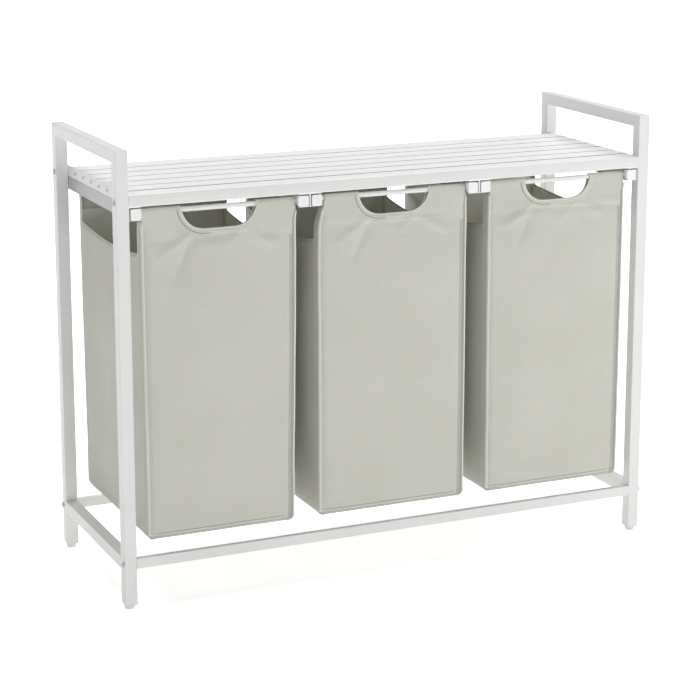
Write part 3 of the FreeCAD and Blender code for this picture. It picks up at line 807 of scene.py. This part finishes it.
def stitch_run(threads, run, pitch=4.2, length=3.1, radius=0.42):
    """Adds one thread spindle per stitch along a run."""
    lengths = [0.0]
    for (a, _), (b, _) in zip(run, run[1:]):
        lengths.append(lengths[-1] + (b - a).length)
    total = lengths[-1]
    count = max(1, round(total / pitch))

    def at(distance):
        distance = min(max(distance, 0.0), total)
        for i in range(len(lengths) - 1):
            if distance <= lengths[i + 1]:
                t = (distance - lengths[i]) / max(1e-9, lengths[i + 1] - lengths[i])
                return run[i][0].lerp(run[i + 1][0], t), run[i][1].lerp(run[i + 1][1], t)
        return run[-1]

    for stitch in range(count):
        middle = (stitch + 0.5) * total / count
        a, out = at(middle - length / 2)
        b, _ = at(middle + length / 2)
        side = (b - a).normalized().cross(out).normalized()
        base = threads.add(a - out * radius * 0.8)
        for t in (0.25, 0.75):
            centre = a.lerp(b, t)
            for u, v in ((1, 0), (0, 1), (-1, 0), (0, -1)):
                threads.add(centre + side * (u * radius) + out * (v * radius))
        threads.add(b - out * radius * 0.8)
        for j in range(4):
            k = (j + 1) % 4
            threads.faces.append((base, base + 1 + k, base + 1 + j))
            threads.faces.append((base + 1 + j, base + 1 + k, base + 5 + k, base + 5 + j))
            threads.faces.append((base + 9, base + 5 + j, base + 5 + k))


def trim_hole(bag, panel, binding, facing, fold_shadow, threads):
    """A hand hole's binding, facing, dark strip painted as the shadow of a fold, and stitches."""
    sweep(binding, hole_path(bag, panel), BINDING, closed=True)
    lay_strip(facing, [beside_hole(bag, panel, d, n) for d, n in FACING])
    lay_strip(fold_shadow, [beside_hole(bag, panel, d, n)[:FOLD_SHADOW_POINTS] for d, n in FOLD_SHADOW])
    stitch_run(threads, beside_hole(bag, panel, 4.5, 0.6), pitch=3.4, length=2.6, radius=0.45)


def trim_side(bag, panel, binding, facing, threads):
    """A side panel's hem, the bound edges of its window, and its two seams."""
    hem = []
    for along in steps(WINDOW_FRONT, WINDOW_REAR, 40):
        point, out = place(bag, (panel, along), SIDE_HEM_Z)
        hem.append((point, out, Vector((0, 0, -1))))
    sweep(facing, hem, BINDING)
    run = [(p + into * 4.4 + out * (CLOTH_HALF + 0.15), out) for p, out, into in hem]
    stitch_run(threads, run, pitch=3.6, length=2.7)
    for along, toward in ((WINDOW_FRONT, -1), (WINDOW_REAR, 1)):
        into = Vector((0, toward, 0))
        edge = []
        for z in steps(SIDE_HEM_Z - 3, STRIP_TOP_Z, 12):
            point, out = place(bag, (panel, along), z)
            edge.append((point, out, into))
        sweep(binding, edge, BINDING)
        seam = [((panel, along), z) for z in steps(WALL_START_Z, SIDE_HEM_Z - 1, 60)]
        run = [(point + into * 3.4, out) for point, out in on_cloth(bag, seam, 0.25)]
        stitch_run(threads, run, pitch=4.4, length=3.2, radius=0.4)


def pipe_corner(bag, corner, binding):
    """The piping up one corner."""
    ridge = []
    for z in steps(WALL_START_Z - 2, STRIP_TOP_Z - 2, 70):
        point, out = place(bag, (corner, PIPING_TURN), z)
        ridge.append((point + out * (CLOTH_HALF + 0.5), out, Vector((-out.y, out.x, 0))))
    sweep(binding, ridge, PIPING)


def trim_face(bag, panel, fold_shadow, threads):
    """A front or rear panel's dark strip of painted shadow along its bottom seam, and its stitches
    beside the corners and the sleeve.
    """
    across = steps(-FACE_LIMIT, FACE_LIMIT, 60)
    runs = []
    for up, lift in BOTTOM_SEAM_SHADOW:
        runs.append(on_cloth(bag, [((panel, v), WALL_START_Z + up) for v in across], lift))
    lay_strip(fold_shadow, runs)
    for along in (-(FACE_LIMIT - 2.5), FACE_LIMIT - 2.5):
        upright = [((panel, along), z) for z in steps(WALL_START_Z + 4, 618, 70)]
        stitch_run(threads, on_cloth(bag, upright, 0.1))
    level = [((panel, v), SLEEVE_SEAM_Z) for v in steps(-FACE_LIMIT + 3, FACE_LIMIT - 3, 60)]
    stitch_run(threads, on_cloth(bag, level, 0.1))


def bag_trims(bag):
    """Binding tape, piping, facings, dark strips painted as fold shadows, and stitching of one bag.
    """
    binding, facing, fold_shadow, threads = Surface(), Surface(), Surface(), Surface()
    for panel in ("front", "rear"):
        trim_hole(bag, panel, binding, facing, fold_shadow, threads)
    for panel in ("left", "right"):
        trim_side(bag, panel, binding, facing, threads)
    for corner in ((-1, -1), (1, -1), (-1, 1), (1, 1)):
        pipe_corner(bag, corner, binding)
    for panel in ("front", "rear"):
        trim_face(bag, panel, fold_shadow, threads)
    return [
        make_mesh(f"bag_{bag}_binding", binding.points, binding.faces, TAPE),
        make_mesh(f"bag_{bag}_hand_hole_facing", facing.points, facing.faces, CLOTH),
        make_mesh(f"bag_{bag}_painted_fold_shadow", fold_shadow.points, fold_shadow.faces, FOLD_SHADOW_CLOTH),
        make_mesh(f"bag_{bag}_stitching", threads.points, threads.faces, THREAD),
    ]


for bag, bay_x in BAY_X.items():
    shell = bag_shell(bag)
    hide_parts(f"bag_{bag}_fabric")
    for piece in (shell, *bag_trims(bag)):
        piece.data.transform(Matrix.Translation((bay_x * MM, 0, 0)))
        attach(piece, f"bag_{bag}")

# ---------------------------------------------------------------- floor, lights, camera

FLOOR_HALF = 14000.0
FLOOR_Z = -0.2
floor_corners = [
    (x * FLOOR_HALF, y * FLOOR_HALF, FLOOR_Z) for x, y in ((-1, -1), (1, -1), (1, 1), (-1, 1))
]
floor = make_mesh("floor", floor_corners, [(0, 1, 2, 3)], pale_floor(), smooth_shading=False)

# The surroundings are dim on the left and brighter on the right.
SKY_LEFT, SKY_RIGHT = 0.06, 0.35
world = bpy.data.worlds.new("studio")
world.use_nodes = True
sky = world.node_tree
sky.nodes["Background"].inputs["Color"].default_value = (1.0, 1.0, 1.0, 1.0)
direction = sky.nodes.new("ShaderNodeTexCoord")
across = sky.nodes.new("ShaderNodeSeparateXYZ")
level = sky.nodes.new("ShaderNodeMapRange")
ends = {"From Min": -1.0, "From Max": 0.6, "To Min": SKY_LEFT, "To Max": SKY_RIGHT}
for key, value in ends.items():
    level.inputs[key].default_value = value
sky.links.new(direction.outputs["Generated"], across.inputs[0])
sky.links.new(across.outputs["X"], level.inputs["Value"])
sky.links.new(level.outputs[0], sky.nodes["Background"].inputs["Strength"])
scene.world = world


def softbox(name, position, aim, size, power):
    """A rectangular area light."""
    lamp = bpy.data.lights.new(name, "AREA")
    lamp.shape = "RECTANGLE"
    lamp.size, lamp.size_y = size
    lamp.energy = power
    holder = bpy.data.objects.new(name, lamp)
    holder.location = position
    holder.rotation_euler = (Vector(aim) - Vector(position)).to_track_quat("-Z", "Y").to_euler()
    scene.collection.objects.link(holder)


softbox("key_front_right", (1.8, -1.7, 0.9), (0.3, 0, 0.4), (1.4, 1.2), 13)
softbox("fill_front_left", (-1.3, -3.2, 1.0), (0, 0, 0.35), (2.0, 1.6), 13.5)
softbox("fill_rear", (-1.4, 3.2, 0.8), (0, 0, 0.4), (2.4, 1.4), 8)
softbox("overhead", (0.8, 2.4, 5.0), (0.8, 2.4, 0), (6.0, 6.0), 340)

IMAGE_WIDTH = 700
FOCAL_PIXELS = 2130.5
SENSOR = 36.0
LOOK_ACROSS = math.radians(24.20)
LOOK_DOWN = math.radians(12.56)

camera_data = bpy.data.cameras.new("camera")
camera_data.sensor_width = SENSOR
camera_data.lens = FOCAL_PIXELS / IMAGE_WIDTH * SENSOR
camera_data.shift_y = -0.1
camera = bpy.data.objects.new("camera", camera_data)
scene.collection.objects.link(camera)
camera.location = (-1.4224, -3.1494, 1.2195)
heading = Vector((
    math.sin(LOOK_ACROSS) * math.cos(LOOK_DOWN),
    math.cos(LOOK_ACROSS) * math.cos(LOOK_DOWN),
    -math.sin(LOOK_DOWN),
))
camera.rotation_euler = heading.to_track_quat("-Z", "Y").to_euler()
scene.camera = camera
scene.view_settings.view_transform = "Standard"
